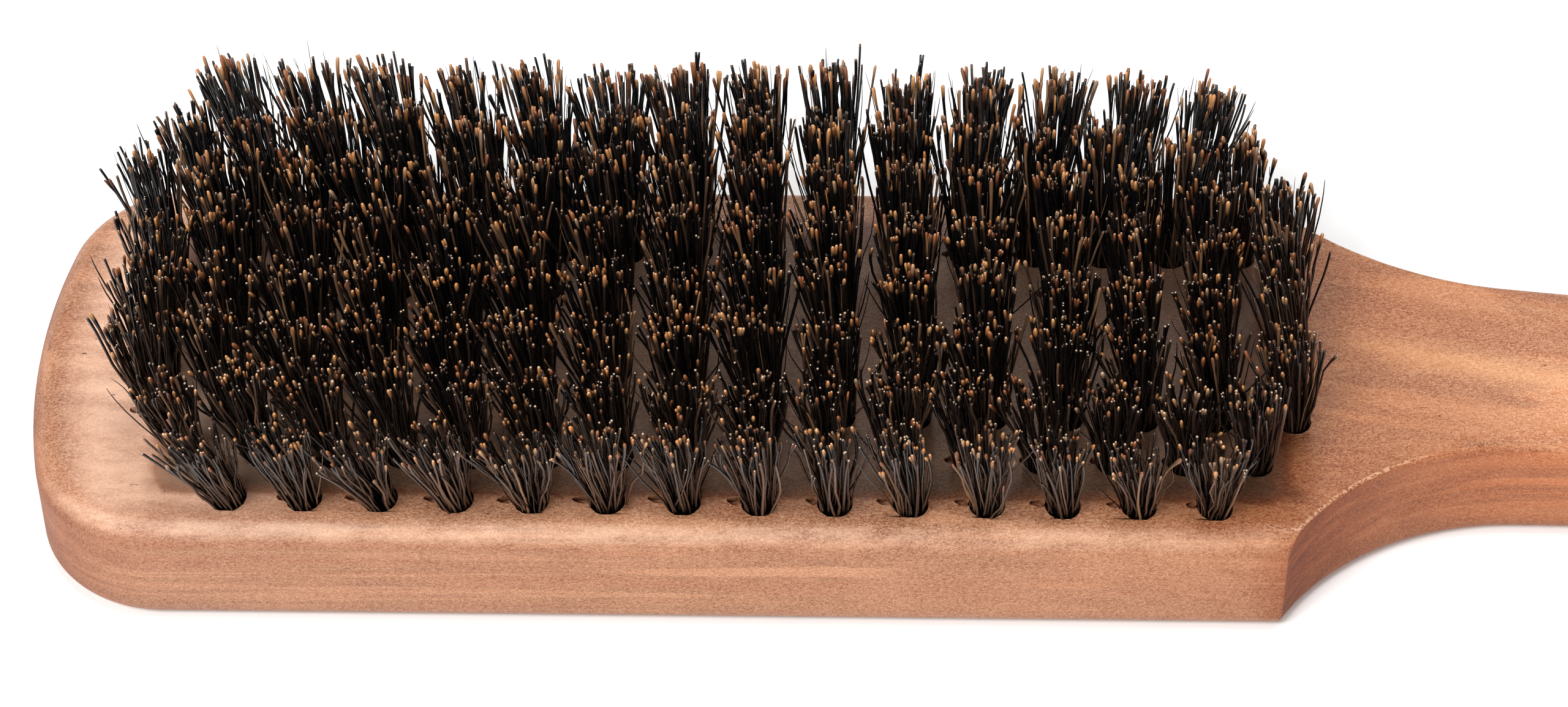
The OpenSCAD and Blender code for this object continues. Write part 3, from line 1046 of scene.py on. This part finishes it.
def steel_material():
    """Brushed flat wire for the anchors."""
    n = Nodes("anchor_wire")
    space = n.object_space()
    brushed = n.noise(n.stretch(space, (300, 5200, 5200)), 1.0, 3)
    n.link(
        n.ramp(brushed, [(0.3, srgb(150, 150, 154)), (0.7, srgb(196, 196, 200))]),
        n.shader.inputs["Base Color"],
    )
    n.shader.inputs["Metallic"].default_value = 1.0
    n.link(n.remap(brushed, 0.3, 0.7, 0.28, 0.44), n.shader.inputs["Roughness"])
    n.link(n.bump(brushed, 0.00001, 0.4), n.shader.inputs["Normal"])
    return n.material


def floor_material():
    n = Nodes("floor")
    n.shader.inputs["Base Color"].default_value = (0.96, 0.96, 0.96, 1)
    n.shader.inputs["Roughness"].default_value = 0.9
    n.shader.inputs["Specular IOR Level"].default_value = 0.0
    return n.material


# ---------------------------------------------------------------- camera, floor and light


def look_frame(azimuth, elevation, roll):
    """Forward, right and up of a camera that looks down at the brush from the near side."""
    a, e = math.radians(azimuth), math.radians(elevation)
    forward = Vector((math.sin(a) * math.cos(e), math.cos(a) * math.cos(e), -math.sin(e)))
    level = Vector((math.cos(a), -math.sin(a), 0))
    rise = level.cross(forward)
    c, s = math.cos(math.radians(roll)), math.sin(math.radians(roll))
    return forward, level * c + rise * s, rise * c - level * s


LENS = 98.44
SENSOR_W = 36
CAMERA_FAR_M = 0.4676


def make_camera():
    """A long lens, 45 degrees down, on a point of the top face just right of the tufts' middle."""
    forward, right, up = look_frame(-1.0, 45.0, -0.15)
    target = Vector((FIELD_X + 6.3, 0.0, THICKNESS)) * MM
    data = bpy.data.cameras.new("camera")
    data.sensor_fit = "HORIZONTAL"
    data.sensor_width = SENSOR_W
    data.lens = LENS
    data.clip_start = 0.01
    camera = bpy.data.objects.new("camera", data)
    turn = Matrix((right, up, -forward)).transposed().to_4x4()
    camera.matrix_world = Matrix.Translation(target - forward * CAMERA_FAR_M) @ turn
    bpy.context.scene.collection.objects.link(camera)
    bpy.context.scene.camera = camera


def make_area(name, where, aim, size, power):
    data = bpy.data.lights.new(name, "AREA")
    data.shape = "RECTANGLE"
    data.size, data.size_y = size
    data.energy = power
    light = bpy.data.objects.new(name, data)
    light.location = where
    light.rotation_euler = (Vector(aim) - Vector(where)).to_track_quat("-Z", "Y").to_euler()
    bpy.context.scene.collection.objects.link(light)


def make_studio():
    mesh = bpy.data.meshes.new("floor")
    reach = 4.0
    corners = [(-reach, -reach, 0), (reach, -reach, 0), (reach, reach, 0), (-reach, reach, 0)]
    mesh.from_pydata(corners, [], [(0, 1, 2, 3)])
    floor = bpy.data.objects.new("floor", mesh)
    bpy.context.scene.collection.objects.link(floor)
    floor.data.materials.append(floor_material())

    world = bpy.data.worlds.new("studio")
    world.use_nodes = True
    world.node_tree.nodes["Background"].inputs["Color"].default_value = (1, 1, 1, 1)
    world.node_tree.nodes["Background"].inputs["Strength"].default_value = 0.25
    bpy.context.scene.world = world

    make_area("key", (-0.60, -0.80, 1.15), (-0.02, 0, 0), (0.5, 0.5), 18)
    make_area("front", (-0.25, -1.15, 0.62), (0, 0, 0), (0.6, 0.25), 5)
    make_area("overhead", (0.10, 0.10, 1.25), (0, 0, 0), (1.0, 0.7), 8)
    make_area("back", (0.05, 1.00, 0.95), (0, 0, 0), (0.5, 0.3), 4)
    scene = bpy.context.scene
    scene.view_settings.view_transform = "Standard"
    scene.view_settings.look = "None"


# ---------------------------------------------------------------- assembly

make_camera()
make_studio()

wood = wood_material()
bristle = bristle_material()
steel = steel_material()

stock = make_stock()
stock.data.materials.append(wood)
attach(stock, "root")
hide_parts("brush_body")

for number, piece in enumerate(make_bristles(), start=1):
    piece.data.materials.append(bristle)
    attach(piece, "root")
    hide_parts(f"tufts_col_{number:02d}")

for name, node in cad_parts.items():
    if name.startswith("anchors_"):
        for slot in node.material_slots:
            slot.material = steel
